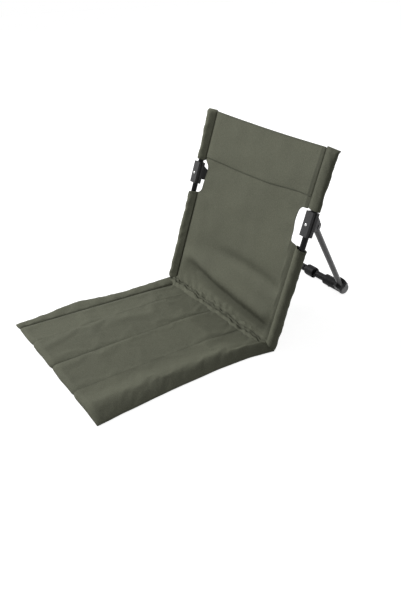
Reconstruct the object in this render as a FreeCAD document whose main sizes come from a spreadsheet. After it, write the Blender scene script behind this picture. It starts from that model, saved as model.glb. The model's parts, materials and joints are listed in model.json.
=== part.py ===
"""Folding ground chair: quilted seat mat, sling back on two uprights, folding rear stand.

Millimetres, +Z up, +Y to the rear. The origin is on the floor at the middle of the footprint.
The right side is built, and the left side is its mirror image.
"""
import FreeCAD
import Part
import math
import os
import re

DOC = FreeCAD.newDocument("ground_chair")
SHEET = DOC.addObject("Spreadsheet::Sheet", "Sizes")
V = FreeCAD.Vector
X_AXIS, Y_AXIS, Z_AXIS = V(1, 0, 0), V(0, 1, 0), V(0, 0, 1)

# Driving dimensions, and the ones that follow from them
SIZES = [
    ("chair_width", "420 mm", "seat and back, over the side rolls"),
    ("seat_length", "420 mm", "crease to front edge"),
    ("back_length", "436 mm", "crease to top edge, along the back"),
    ("back_lean", "17.2 deg", "back from the vertical"),
    ("fit_gap", "0.05 mm", "radial clearance of pins and bores"),
    ("upright_offset", "199 mm", "upright axis from the middle"),
    ("tube_radius", "6.5 mm", "uprights and legs"),
    ("tube_wall", "0.8 mm", "all tubes"),
    ("bar_radius", "8.8 mm", "crossbar halves"),
    ("sleeve_radius", "10.5 mm", "cloth round the upright"),
    ("sleeve_bore", "8.3 mm", "free radius in the cloth sleeve"),
    ("seam_inset", "29 mm", "side edge to sleeve seam"),
    ("cutout_low", "233 mm", "lower end of the cut-out, along the back"),
    ("cutout_high", "316 mm", "upper end of the cut-out, along the back"),
    ("cutout_inset", "51 mm", "side edge to bottom of the cut-out"),
    ("cutout_corner", "14 mm", "corner radius of the cut-out"),
    ("headrest_low", "334 mm", "lower edge of the second layer"),
    ("cloth_thick", "1.6 mm", "sling cloth with its hem"),
    ("back_sag", "9 mm", "how far the sling bows back"),
    ("lug_height", "279 mm", "leg pivot, along the upright"),
    ("lug_reach", "25 mm", "leg pivot behind the upright axis"),
    ("lug_turn", "17.8 deg", "lug turned inward"),
    ("leg_angle", "57.9 deg", "leg from the upright, unfolded"),
    ("leg_length", "307.4 mm", "pivot to pivot"),
    ("foot_pin_rise", "20.4 mm", "leg pivot above the crossbar axis"),
    ("hub_pin_offset", "14.7 mm", "hub pin from the middle"),
    ("bracket_half", "11 mm", "half width of the bracket"),
    ("bracket_below", "22 mm", "bracket below the leg pivot"),
    ("bracket_above", "30 mm", "bracket above the leg pivot"),
    ("bracket_rear", "9.2 mm", "wall that the leg stops on, behind the upright axis"),
    ("bracket_side", "6.4 mm", "side faces behind the upright axis"),
    ("groove_start", "8.4 mm", "groove of the side faces, ahead of the upright axis"),
    ("groove_width", "6.8 mm", "groove of the side faces"),
    ("groove_depth", "2.2 mm", "groove of the side faces"),
    ("rivet_rise", "2.5 mm", "bracket rivet above the leg pivot"),
    ("cheek_half", "9.4 mm", "half width over the lug's cheeks"),
    ("web_top", "24 mm", "where the lug's sloping edge starts, above the leg pivot"),
    ("lug_radius", "10 mm", "round end of the lug"),
    ("fork_half", "6.9 mm", "half width of both leg forks"),
    ("leg_pin_radius", "3 mm", "upper leg pin"),
    ("small_pin_radius", "2.5 mm", "foot and hub pins"),
    ("rivet_radius", "2 mm", "bracket rivet shank"),
    ("fitting_start", "51.5 mm", "inner end of the foot fitting"),
    ("fitting_radius", "13.3 mm", "foot fitting"),
    ("fitting_past_pin", "1 mm", "foot fitting beyond the leg pin"),
    ("pad_length", "7.5 mm", "foot pad along the crossbar"),
    ("pad_stub", "8 mm", "foot pad's stub in the fitting"),
    ("bar_rivet_x", "74 mm", "crossbar rivet from the middle"),
    ("hub_end", "8.5 mm", "hub beyond its pin"),
    ("hub_clear", "1.3 mm", "crossbar tube clear of the hub"),
    ("hub_radius", "8.8 mm", "ends of the hub, as round as the crossbar"),
    ("ear_half", "7.2 mm", "half height of the hub's ends"),
    ("collar_radius", "14 mm", "collar in the middle of the hub"),
    ("collar_half", "14 mm", "half length of the collar"),
    ("collar_rim", "1.6 mm", "rounding of the collar's rims"),
    ("hub_fork_half", "5.4 mm", "half width of the hub slot"),
    ("mat_gap", "13 mm", "seat mat ahead of the crease line"),
    ("lane_seam", "105 mm", "seam from the middle of the mat"),
    ("lane_crown", "12 mm", "mat height in a lane"),
    ("seam_height", "5 mm", "mat height at a seam"),
    ("roll_crown", "14 mm", "mat height in a side roll"),
    ("mat_skin", "1.2 mm", "mat cover"),
    ("leg_reach_total", "=lug_reach + leg_length * sin(leg_angle)", "foot pivot behind the upright"),
    ("foot_pin_x", "=upright_offset - leg_reach_total * sin(lug_turn)", "foot pivot"),
    ("foot_pin_b", "=leg_reach_total * cos(lug_turn)", "foot pivot, square to the back"),
    ("foot_pin_s", "=lug_height - leg_length * cos(leg_angle)", "foot pivot, along the back"),
    ("foot_pin_y", "=foot_pin_s * sin(back_lean) + foot_pin_b * cos(back_lean)", "foot pivot"),
    ("foot_pin_z", "=foot_pin_s * cos(back_lean) - foot_pin_b * sin(back_lean)", "foot pivot"),
    ("lug_pin_b", "=lug_reach * cos(lug_turn)", "leg pivot, square to the back"),
    ("lug_pin_y", "=lug_height * sin(back_lean) + lug_pin_b * cos(back_lean)", "leg pivot"),
    ("lug_pin_z", "=lug_height * cos(back_lean) - lug_pin_b * sin(back_lean)", "leg pivot"),
    ("stand_lean", "=atan2(foot_pin_y - lug_pin_y; lug_pin_z - foot_pin_z)", "stand from the vertical"),
    ("leg_splay", "=asin((leg_reach_total - lug_reach) * sin(lug_turn) / leg_length)", "leg in the stand"),
    ("bar_y", "=foot_pin_y + foot_pin_rise * sin(stand_lean)", "crossbar axis"),
    ("bar_z", "=foot_pin_z - foot_pin_rise * cos(stand_lean)", "crossbar axis above the floor"),
    ("centre_shift", "=(seat_length - bar_y - bar_z) / 2", "puts the footprint's middle on the origin"),
    ("tube_low", "8 mm", "lower end of the upright"),
    ("tube_high", "=back_length - 12 mm", "upper end of the upright"),
    ("sleeve_base", "=sleeve_radius * tan(back_lean)", "sleeve end that meets the floor"),
    ("stop_gap", "0.25 mm", "leg end clear of the bracket"),
    ("leg_top_reach",
     "=(lug_reach - bracket_rear - stop_gap - tube_radius * cos(leg_angle)) / sin(leg_angle)",
     "leg beyond its upper pin, where it stops on the bracket"),
]

for row, (alias, value, note) in enumerate(SIZES, start=1):
    SHEET.set(f"A{row}", note)
    SHEET.set(f"B{row}", value)
    SHEET.setAlias(f"B{row}", alias)
DOC.recompute()
ALIASES = sorted((alias for alias, _, _ in SIZES), key=len, reverse=True)
ALIAS_WORD = re.compile(r"\b(" + "|".join(ALIASES) + r")\b")


def size(alias):
    """Value of one cell, in mm or degrees."""
    value = SHEET.get(alias)
    return float(getattr(value, "Value", value))


def bind(obj, **expressions):
    """Drive the named properties from cells of the sheet."""
    for prop, text in expressions.items():
        obj.setExpression(prop, ALIAS_WORD.sub(r"Sizes.\1", text))
    return obj


def placed(x=0.0, y=0.0, z=0.0, axis=Z_AXIS, angle=0.0):
    return FreeCAD.Placement(V(x, y, z), FreeCAD.Rotation(axis, angle))


# Frames: the floor, the leaning back, the right lug, the stand plane and the right leg
FLOOR = placed(y=size("centre_shift"))
BACK = FLOOR.multiply(placed(axis=X_AXIS, angle=-size("back_lean")))
UPRIGHT = BACK.multiply(placed(x=size("upright_offset")))
LUG = UPRIGHT.multiply(placed(z=size("lug_height"), angle=size("lug_turn")))
STAND = FLOOR.multiply(placed(y=size("bar_y"), z=size("bar_z"), axis=X_AXIS, angle=size("stand_lean")))
LEG = STAND.multiply(placed(size("foot_pin_x"), 0, size("foot_pin_rise"), Y_AXIS, size("leg_splay")))
TURNS = {
    "x": FreeCAD.Rotation(Y_AXIS, 90),
    "y": FreeCAD.Rotation(X_AXIS, -90),
    "z": FreeCAD.Rotation(),
}
# A sketch seen from the side: its x is the frame's y, its y the frame's z, its normal the frame's x
SIDE_VIEW = FreeCAD.Rotation(Y_AXIS, Z_AXIS, X_AXIS)
# A sketch seen from the front: its x is the frame's x, its y the frame's z, its normal is -y
FRONT_VIEW = FreeCAD.Rotation(X_AXIS, 90)


def cylinder(frame, at, along, radius, height):
    """Cylinder from a point of the frame along one of its axes."""
    obj = DOC.addObject("Part::Cylinder", "cylinder")
    bind(obj, Radius=radius, Height=height)
    obj.Placement = frame.multiply(FreeCAD.Placement(V(*at), TURNS[along]))
    return obj


def box(frame, at, length, width, height, tilt=0.0):
    """Box from a corner in the frame, optionally tilted about the frame's x."""
    obj = DOC.addObject("Part::Box", "box")
    bind(obj, Length=length, Width=width, Height=height)
    obj.Placement = frame.multiply(FreeCAD.Placement(V(*at), FreeCAD.Rotation(X_AXIS, tilt)))
    return obj


def fuse(*parts):
    obj = DOC.addObject("Part::MultiFuse", "fuse")
    obj.Shapes = list(parts)
    return obj


def common(*parts):
    obj = DOC.addObject("Part::MultiCommon", "common")
    obj.Shapes = list(parts)
    return obj


def cut(base, *tools):
    obj = DOC.addObject("Part::Cut", "cut")
    obj.Base = base
    obj.Tool = tools[0] if len(tools) == 1 else fuse(*tools)
    return obj


def round_edges(base, frame, along, radius, keep=lambda point: True):
    """Fillet the straight edges that run along one axis of the frame, where keep(local middle) is true."""
    DOC.recompute()
    direction = frame.Rotation.multVec(along)
    inverse = frame.inverse()
    picked = []
    for number, edge in enumerate(base.Shape.Edges, start=1):
        if edge.Curve.TypeId != "Part::GeomLine":
            continue
        parallel = abs(edge.tangentAt(edge.FirstParameter).dot(direction)) > 0.999
        middle = inverse.multVec(edge.valueAt((edge.FirstParameter + edge.LastParameter) / 2))
        if parallel and keep(middle):
            picked.append((number, radius, radius))
    obj = DOC.addObject("Part::Fillet", "fillet")
    obj.Base = base
    obj.Edges = picked
    return obj


def round_rim(base, frame, at, along, radius):
    """Fillet the circular edge whose centre is at a point of the frame."""
    DOC.recompute()
    centre = frame.multVec(V(*at))
    normal = frame.Rotation.multVec(along)
    picked = []
    for number, edge in enumerate(base.Shape.Edges, start=1):
        curve = edge.Curve
        if curve.TypeId == "Part::GeomCircle" and curve.Center.distanceToPoint(centre) < 0.01:
            if abs(curve.Axis.dot(normal)) > 0.999:
                picked.append((curve.Radius, number))
    obj = DOC.addObject("Part::Fillet", "fillet")
    obj.Base = base
    obj.Edges = [(max(picked)[1], radius, radius)]
    return obj


def outline(points):
    """Closed outline; an entry with two points is an arc through the first to the second."""
    edges, start = [], V(*points[0], 0)
    for entry in points[1:] + [points[0]]:
        if isinstance(entry[0], tuple):
            through, end = V(*entry[0], 0), V(*entry[1], 0)
            edges.append(Part.Arc(start, through, end))
        else:
            end = V(*entry, 0)
            edges.append(Part.LineSegment(start, end))
        start = end
    return edges


def padded_profile(frame, corner, view, outlines, length):
    """Body with one sketch, of an outer outline and any inner ones, padded by a length from the sheet."""
    body = DOC.addObject("PartDesign::Body", "body")
    sketch = body.newObject("Sketcher::SketchObject", "profile")
    sketch.Placement = FreeCAD.Placement(V(*corner), view)
    for points in outlines:
        sketch.addGeometry(outline(points), False)
    pad = body.newObject("PartDesign::Pad", "pad")
    pad.Profile = sketch
    bind(pad, Length=length)
    body.Placement = frame
    return body


def section(frame, x, points):
    """Free sketch across the frame's x, for a loft."""
    sketch = DOC.addObject("Sketcher::SketchObject", "section")
    sketch.Placement = frame.multiply(FreeCAD.Placement(V(x, 0, 0), SIDE_VIEW))
    sketch.addGeometry(outline(points), False)
    return sketch


def loft(sections):
    obj = DOC.addObject("Part::Loft", "loft")
    obj.Sections = sections
    obj.Solid = True
    obj.Ruled = False
    return obj


FINISHED = []


def finish(obj, label):
    obj.Label = label
    FINISHED.append(obj)
    return obj


def both_sides(obj, name):
    """The right piece, and the left one as its mirror image."""
    finish(obj, f"{name}_right")
    mirror = DOC.addObject("Part::Mirroring", "mirror")
    mirror.Source = obj
    mirror.Normal = X_AXIS
    mirror.Base = V(0, 0, 0)
    finish(mirror, f"{name}_left")


def tube(frame, start, along, radius, length):
    outer = cylinder(frame, start, along, radius, length)
    inner = cylinder(frame, start, along, f"{radius} - tube_wall", length)
    return outer, inner


def build_upright():
    s_low, s_high = size("tube_low"), size("tube_high")
    rivet_z = size("lug_height") + size("rivet_rise")
    outer, inner = tube(UPRIGHT, (0, 0, s_low), "z", "tube_radius", "tube_high - tube_low")
    hole = cylinder(UPRIGHT, (0, -15, rivet_z), "y", "rivet_radius + fit_gap", "30 mm")
    both_sides(cut(outer, inner, hole), "upright_tube")

    head = cylinder(UPRIGHT, (0, 0, s_high), "z", "tube_radius + 0.5 mm", "7 mm")
    spigot = cylinder(UPRIGHT, (0, 0, s_high - 14), "z", "tube_radius - tube_wall - fit_gap", "14 mm")
    both_sides(round_rim(fuse(head, spigot), UPRIGHT, (0, 0, s_high + 7), Z_AXIS, 3.5), "upright_top_plug")

    cup = cylinder(UPRIGHT, (0, 0, 5), "z", "tube_radius + 1.5 mm", "23 mm")
    bore = cylinder(UPRIGHT, (0, 0, s_low), "z", "tube_radius + fit_gap", "30 mm")
    both_sides(cut(cup, bore), "upright_foot_cap")

    half, cheek = size("bracket_half"), size("cheek_half")
    rear, reach = size("bracket_rear"), size("lug_reach")
    low, tall = size("lug_height") - size("bracket_below"), "bracket_below + bracket_above"
    body = fuse(
        box(UPRIGHT, (-half, -half, low), "2 * bracket_half", "bracket_half + bracket_side", tall),
        cylinder(UPRIGHT, (0, 0, low), "z", "bracket_rear", tall))
    body = round_edges(body, UPRIGHT, Z_AXIS, 2.0, lambda point: point.y < 1 - half)
    over = 5.0
    grooves = [
        box(UPRIGHT, (x, -size("groove_start"), low - over), f"groove_depth + {over} mm", "groove_width",
            f"{tall} + 2 * {over} mm")
        for x in (half - size("groove_depth"), -half - over)]

    # The lug: two cheeks with a round end and an edge that slopes down from the body
    lug = fuse(
        box(LUG, (-cheek, 0, -size("lug_radius")), "2 * cheek_half", "lug_reach", "lug_radius + web_top"),
        cylinder(LUG, (-cheek, reach, 0), "x", "lug_radius", "2 * cheek_half"))
    drop, run = size("web_top"), reach - size("bracket_side")
    fall = math.atan2(drop, run) - math.asin(size("lug_radius") / math.hypot(drop, run))
    above = box(LUG, (-30, size("bracket_side"), drop), "60 mm", "90 mm", "60 mm", -math.degrees(fall))
    slot = box(LUG, (-size("fork_half"), rear, -60), "2 * fork_half", "60 mm", "120 mm")
    bracket = cut(
        fuse(cut(body, *grooves), cut(lug, above, slot)),
        cylinder(UPRIGHT, (0, 0, low - over), "z", "tube_radius + fit_gap", f"{tall} + 2 * {over} mm"),
        cylinder(LUG, (-30, reach, 0), "x", "leg_pin_radius + fit_gap", "60 mm"),
        cylinder(UPRIGHT, (0, -15, rivet_z), "y", "rivet_radius + fit_gap", "30 mm"))
    both_sides(bracket, "pivot_bracket")

    head = 1.6
    rivet = fuse(
        cylinder(UPRIGHT, (0, -half - 1, rivet_z), "y", "rivet_radius",
                 "bracket_half + bracket_rear + 0.6 mm"),
        cylinder(UPRIGHT, (0, -half - head, rivet_z), "y", "rivet_radius + 1.2 mm", f"{head} mm"))
    both_sides(round_rim(rivet, UPRIGHT, (0, -half - head, rivet_z), Y_AXIS, 1.1), "bracket_rivet")

    head = 1.4
    pin = fuse(
        cylinder(LUG, (-cheek - 1, reach, 0), "x", "leg_pin_radius", "2 * cheek_half + 2 mm"),
        cylinder(LUG, (cheek, reach, 0), "x", "leg_pin_radius + 1.6 mm", f"{head} mm"),
        cylinder(LUG, (-cheek - head, reach, 0), "x", "leg_pin_radius + 1.6 mm", f"{head} mm"))
    both_sides(round_rim(pin, LUG, (cheek + head, reach, 0), X_AXIS, 1.0), "leg_pivot_pin")


def leg_holes():
    reach = size("lug_reach")
    return (
        cylinder(LUG, (-30, reach, 0), "x", "leg_pin_radius + fit_gap", "60 mm"),
        cylinder(LEG, (0, -30, 0), "y", "small_pin_radius + fit_gap", "60 mm"))


def build_leg():
    length = size("leg_length")
    outer, inner = tube(LEG, (0, 0, -6), "z", "tube_radius", "leg_length + 12 mm")
    both_sides(cut(outer, inner, *leg_holes()), "rear_leg_tube")

    spigot = "tube_radius - tube_wall - fit_gap"
    top = fuse(
        cylinder(LEG, (0, 0, length - 22), "z", spigot, "28 mm"),
        cylinder(LEG, (0, 0, length + 6), "z", "tube_radius", "leg_top_reach - 6 mm"))
    both_sides(cut(top, leg_holes()[0]), "leg_top_plug")

    bottom = fuse(
        cylinder(LEG, (0, 0, -6), "z", spigot, "28 mm"),
        cylinder(LEG, (0, 0, -9.5), "z", "tube_radius", "3.5 mm"))
    bottom = round_rim(bottom, LEG, (0, 0, -9.5), Z_AXIS, 2.6)
    both_sides(cut(bottom, leg_holes()[1]), "leg_bottom_plug")


def leg_slot():
    """Room for the leg's lower end between the cheeks of the foot."""
    corner = (size("foot_pin_x") - 13, -size("fork_half"), size("foot_pin_rise") - 12)
    return box(STAND, corner, "40 mm", "2 * fork_half", "40 mm")


def build_foot():
    pin_x, rise = size("foot_pin_x"), size("foot_pin_rise")
    start, radius = size("fitting_start"), size("fitting_radius")
    rivet_x, stub = size("bar_rivet_x"), size("pad_stub")
    end = pin_x + size("fitting_past_pin")
    barrel = cylinder(STAND, (start, 0, 0), "x", "fitting_radius",
                      "foot_pin_x + fitting_past_pin - fitting_start")
    barrel = round_rim(barrel, STAND, (start, 0, 0), X_AXIS, 2.0)
    fork = fuse(
        box(STAND, (pin_x - 10, -radius, 0), "20 mm", "2 * fitting_radius", "foot_pin_rise"),
        cylinder(STAND, (pin_x, -radius, rise), "y", "10 mm", "2 * fitting_radius"))
    fork = cut(fork, cylinder(STAND, (end, 0, 0), "x", "bar_z + 0.3 mm", "40 mm"))
    fitting = cut(
        fuse(barrel, fork), leg_slot(),
        cylinder(STAND, (start - 1, 0, 0), "x", "bar_radius + fit_gap",
                 "foot_pin_x - fitting_start - 13 mm"),
        cylinder(STAND, (end - stub, 0, 0), "x", "4.5 mm + fit_gap", "20 mm"),
        cylinder(STAND, (pin_x, -30, rise), "y", "small_pin_radius + fit_gap", "60 mm"),
        cylinder(STAND, (rivet_x, -30, 0), "y", "1.6 mm + fit_gap", "60 mm"))
    both_sides(fitting, "foot_fitting")

    pad = round_rim(cylinder(STAND, (end, 0, 0), "x", "bar_z", "pad_length"),
                    STAND, (end + size("pad_length"), 0, 0), X_AXIS, 5.0)
    pad = fuse(pad, cylinder(STAND, (end - stub, 0, 0), "x", "4.5 mm", "pad_stub + 0.5 mm"))
    both_sides(cut(pad, leg_slot()), "foot_pad")

    both_sides(headed_pin(STAND, pin_x, rise, radius, "fitting_radius"), "foot_pivot_pin")

    outer, inner = tube(STAND, (hub_face(), 0, 0), "x", "bar_radius",
                        "foot_pin_x - 14.5 mm - hub_pin_offset - hub_end - hub_clear")
    rivet_hole = cylinder(STAND, (rivet_x, -30, 0), "y", "1.6 mm + fit_gap", "60 mm")
    both_sides(cut(outer, inner, rivet_hole), "crossbar_tube")

    rivet = fuse(
        cylinder(STAND, (rivet_x, -radius - 0.5, 0), "y", "1.6 mm", "2 * fitting_radius + 1 mm"),
        cylinder(STAND, (rivet_x, radius, 0), "y", "3 mm", "1 mm"),
        cylinder(STAND, (rivet_x, -radius - 1, 0), "y", "3 mm", "1 mm"))
    both_sides(rivet, "crossbar_rivet")


def hub_face():
    """Where a crossbar tube starts, just clear of the hub."""
    return size("hub_pin_offset") + size("hub_end") + size("hub_clear")


def headed_pin(frame, x, z, half, half_name):
    return fuse(
        cylinder(frame, (x, -half - 0.5, z), "y", "small_pin_radius", f"2 * {half_name} + 1 mm"),
        cylinder(frame, (x, half, z), "y", "small_pin_radius + 1.5 mm", "1 mm"),
        cylinder(frame, (x, -half - 1, z), "y", "small_pin_radius + 1.5 mm", "1 mm"))


def build_hub():
    pin_x, end = size("hub_pin_offset"), size("hub_end")
    tongue_half, tongue_height = 5.0, 6.5
    tongue = fuse(
        box(STAND, (pin_x, -tongue_half, -tongue_height), "hub_end + hub_clear", "10 mm", "13 mm"),
        cylinder(STAND, (pin_x, -tongue_half, 0), "y", "6.5 mm", "10 mm"),
        cylinder(STAND, (hub_face() - 0.5, 0, 0), "x", "bar_radius - tube_wall - fit_gap", "24 mm"))
    pin_hole = cylinder(STAND, (pin_x, -30, 0), "y", "small_pin_radius + fit_gap", "60 mm")
    both_sides(cut(tongue, pin_hole), "crossbar_tongue")

    # Two ends that the tongues turn in, and a round collar that is open below for the folding tubes
    reach, opening, ear = 40.0, size("bar_radius") + 0.5, size("ear_half")
    ears = common(
        round_edges(
            box(STAND, (-pin_x - end, -size("hub_radius"), -ear), "2 * (hub_pin_offset + hub_end)",
                "2 * hub_radius", "2 * ear_half"),
            STAND, Y_AXIS, ear - 0.2),
        cylinder(STAND, (-reach, 0, 0), "x", "hub_radius", f"{2 * reach} mm"))
    collar = cylinder(STAND, (-size("collar_half"), 0, 0), "x", "collar_radius", "2 * collar_half")
    for side in (1, -1):
        collar = round_rim(collar, STAND, (side * size("collar_half"), 0, 0), X_AXIS, size("collar_rim"))
    slot = box(STAND, (-reach, -size("hub_fork_half"), -30), f"{2 * reach} mm", "2 * hub_fork_half",
               "30 mm + ear_half")
    below = box(STAND, (-reach, -opening, -30 - opening), f"{2 * reach} mm", f"{2 * opening} mm", "30 mm")
    holes = []
    for side in (1, -1):
        holes.append(cylinder(STAND, (side * pin_x, -30, 0), "y", "small_pin_radius + fit_gap", "60 mm"))
        for y in (size("hub_radius"), -30 - size("hub_radius")):
            holes.append(cylinder(STAND, (side * pin_x, y, 0), "y", "small_pin_radius + 1.8 mm", "30 mm"))
    finish(cut(fuse(ears, collar), slot, below, *holes), "hub_housing")
    both_sides(headed_pin(STAND, pin_x, 0, size("hub_radius"), "hub_radius"), "hub_pin")


def build_sleeves():
    radius, seam = size("sleeve_radius"), size("seam_inset")
    tip = -(size("upright_offset") - size("chair_width") / 2 + seam) + 0.6
    side_y, side_x = 0.8 * radius, -0.6 * radius
    drop = [(tip, -0.8), (side_x, -side_y), ((radius, 0.0), (side_x, side_y)), (tip, 0.8)]
    flat = FreeCAD.Rotation()
    base, low, high = size("sleeve_base"), size("cutout_low"), size("cutout_high")

    lower = padded_profile(UPRIGHT, (0, 0, base), flat, [drop], "cutout_low - sleeve_base")
    bore = cylinder(UPRIGHT, (0, 0, base + 1.2), "z", "sleeve_bore", "cutout_low")
    slope = box(UPRIGHT.multiply(placed(-20, -40, low, Y_AXIS, 14)), (0, 0, 0), "120 mm", "80 mm", "40 mm")
    both_sides(cut(lower, bore, slope), "lower_sleeve")

    upper = padded_profile(UPRIGHT, (0, 0, high), flat, [drop], "back_length - cutout_high")
    bore = cylinder(UPRIGHT, (0, 0, high - 1), "z", "sleeve_bore", "back_length - cutout_high - 2 mm")
    both_sides(cut(upper, bore), "upper_sleeve")


def panel_outline(top, bottom_points, front, thick):
    """Side outline of a cloth layer: the front line down to the folds, and the same line behind it."""
    low = bottom_points
    rear = [(y + thick, z) for y, z in low]
    return [
        (front, top), (front, low[0][1]),
        (low[1], low[2]), (low[3], low[4]),
        (rear[4][0], rear[4][1]),
        (rear[3], rear[2]), (rear[1], (front + thick, low[0][1])),
        (front + thick, top)]


def build_cloth():
    half = size("chair_width") / 2 - size("seam_inset")
    thick, sag, top = size("cloth_thick"), size("back_sag"), size("back_length") - 2
    front = -thick / 2

    # Side view of the sling: straight, then a slack fold with a hollow that stays ahead of the folded stand
    folds = [(0.0, 112.0), (0.6, 78.0), (4.6, 50.0), (5.6, 32.0), (2.0, 10.8)]
    bows = [1.0, 0.3, 0.25, 0.2, 0.1]
    sections = []
    for x in (-half, 0.0, half):
        bow = sag * (1 - (x / half) ** 2)
        moved = [(front + y + bow * share, z) for (y, z), share in zip(folds, bows)]
        sections.append(section(BACK, x, panel_outline(top, moved, front + bow, thick)))
    corner = size("cutout_corner")
    inner = size("chair_width") / 2 - size("cutout_inset")
    notches = []
    for side in (1, -1):
        x = inner if side > 0 else -inner - 60
        notch = box(BACK, (x, -40, size("cutout_low")), "60 mm", "80 mm", "cutout_high - cutout_low")
        notches.append(round_edges(notch, BACK, Y_AXIS, corner, lambda point: abs(point.x) < inner + 1))
    finish(cut(loft(sections), *notches), "back_panel")

    # Second layer on the upper back, bowed like the sling behind it
    gap, layer = 0.5, 1.2
    low = size("headrest_low")
    sections = []
    for x in (-half + 0.5, 0.0, half - 0.5):
        y = front - gap - layer + sag * (1 - (x / half) ** 2)
        sections.append(section(BACK, x, [
            (y, top - 1), (y, low + 12), ((y - 2.2, low + 6), (y, low)),
            (y + layer, low), (y + layer, top - 1)]))
    finish(loft(sections), "headrest_layer")

    seam_half = half - 1.0
    ahead, behind = 0.4 - size("mat_gap"), 7.5
    roll = [(ahead, 0.0), (behind, 0.0), (behind, 7.0), ((-4.0, 9.6), (ahead, 5.0))]
    finish(padded_profile(FLOOR, (-seam_half, 0, 0), SIDE_VIEW, [roll],
                          "chair_width - 2 * seam_inset - 2 mm"), "crease_seam")


def build_mat():
    half, seam = size("chair_width") / 2, size("lane_seam")
    hem = half - size("seam_inset")
    crown, low, skin = size("lane_crown"), size("seam_height"), size("mat_skin")
    roll_crown, filling = size("roll_crown"), size("roll_crown") - 2.5
    lanes = [(-hem, -seam), (-seam, 0.0), (0.0, seam), (seam, hem)]
    rolls = [(-half, -hem), (hem, half)]
    edge = 4.0

    top = [(-half, edge), ((-half + 13, roll_crown), (-hem, low))]
    for a, b in lanes:
        top.append((((a + b) / 2, crown), (b, low)))
    top.append(((half - 13, roll_crown), (half, edge)))
    outer = [(-half, 0.0)] + top + [(half, 0.0)]

    def lens(a, b, height, slack):
        inset = 5.0 + slack
        return [(a + inset, skin + slack), (b - inset, skin + slack), (b - inset, low - skin),
                (((a + b) / 2, height - skin - slack), (a + inset, low - skin))]

    rear = (0, -size("mat_gap"), 0)
    length = "seat_length - mat_gap"
    lenses = [lens(a, b, crown, 0.0) for a, b in lanes] + [lens(a, b, filling, 0.0) for a, b in rolls]
    mat = padded_profile(FLOOR, rear, FRONT_VIEW, [outer], length)
    channels = [padded_profile(FLOOR, rear, FRONT_VIEW, [points], f"{length} - 3 mm") for points in lenses]
    finish(cut(mat, *channels), "seat_cover")

    inside = (0, -size("mat_gap") - 2, 0)
    for number, (a, b) in enumerate(lanes, start=1):
        strip = padded_profile(FLOOR, inside, FRONT_VIEW, [lens(a, b, crown, 0.2)], f"{length} - 6 mm")
        finish(strip, f"seat_foam_{number}")
    for side, (a, b) in zip(("left", "right"), rolls):
        strip = padded_profile(FLOOR, inside, FRONT_VIEW, [lens(a, b, filling, 0.2)], f"{length} - 6 mm")
        finish(strip, f"side_roll_filling_{side}")


def write_steps():
    """Check every object, then write one STEP file for each finished piece."""
    DOC.recompute()
    for obj in DOC.Objects:
        bad = {"Invalid", "Error"} & set(obj.State)
        if bad:
            raise RuntimeError(f"{obj.Label} is {sorted(bad)}")
    for obj in FINISHED:
        shape = obj.Shape
        if shape.isNull() or not shape.isValid() or not shape.Solids:
            raise RuntimeError(f"{obj.Label} has no valid solid")
    os.makedirs("parts", exist_ok=True)
    for obj in FINISHED:
        obj.Shape.exportStep(f"parts/{obj.Label}.step")


build_upright()
build_leg()
build_foot()
build_hub()
build_sleeves()
build_cloth()
build_mat()
write_steps()
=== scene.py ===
"""Dresses the folding ground chair: cloth sling and mat, tube finishes, moulded fittings, studio stage."""
import json
import math

import bpy
import numpy as np
from bpy.props import FloatProperty, FloatVectorProperty, PointerProperty
from mathutils import Matrix, Vector


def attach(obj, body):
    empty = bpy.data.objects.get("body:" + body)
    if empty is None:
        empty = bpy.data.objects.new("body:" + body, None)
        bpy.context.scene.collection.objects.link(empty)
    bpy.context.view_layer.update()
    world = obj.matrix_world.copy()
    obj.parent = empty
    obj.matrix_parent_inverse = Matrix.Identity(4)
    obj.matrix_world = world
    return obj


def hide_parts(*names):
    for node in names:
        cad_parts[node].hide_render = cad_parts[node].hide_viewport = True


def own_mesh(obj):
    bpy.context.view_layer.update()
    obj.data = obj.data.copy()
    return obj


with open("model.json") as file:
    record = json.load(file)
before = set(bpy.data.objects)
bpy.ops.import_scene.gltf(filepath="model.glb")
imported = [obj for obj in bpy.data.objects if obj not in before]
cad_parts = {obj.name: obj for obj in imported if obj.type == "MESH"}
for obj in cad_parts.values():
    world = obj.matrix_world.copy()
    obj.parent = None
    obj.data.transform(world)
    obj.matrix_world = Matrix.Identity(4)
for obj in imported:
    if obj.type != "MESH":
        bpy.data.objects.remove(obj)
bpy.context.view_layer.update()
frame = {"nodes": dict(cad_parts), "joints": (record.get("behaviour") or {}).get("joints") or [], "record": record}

bl_info = {
    "name": "Folding ground chair",
    "version": (1, 0, 0),
    "blender": (4, 5, 0),
    "location": "View3D > Sidebar > Ground chair",
    "description": "Cloth, tube and moulded finishes of a folding ground chair",
    "category": "Object",
}

JOINTS = {joint["name"]: joint for joint in frame["joints"]}
# Places in mm: across from the middle, and from the crease along the back or along the seat
MAT_GAP = 13.0
CREASE_Y = JOINTS["seat_fold"]["pos_m"][1] * 1000 + MAT_GAP
UPRIGHT_X = 199.0
SEAM_X = 181.0
LANE_X = 105.0
BACK_TOP = 436.0
NOTCH_LOW, NOTCH_LOW_LEFT, NOTCH_HIGH, NOTCH_HIGH_RIGHT = 233.0, 239.0, 316.0, 310.0
NOTCH_RIGHT, NOTCH_LEFT, NOTCH_CORNER = 158.0, 168.0, 14.0
NOTCH_SPAN = NOTCH_HIGH - NOTCH_LOW
HEADREST_LOW = 323.0
SEAT_FRONT, SEAT_HALF = -420.0, 210.0

# Folded cloth: room before the folded stand in mm behind the uprights' plane
FOLDED_ROOM = 9.2

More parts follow.
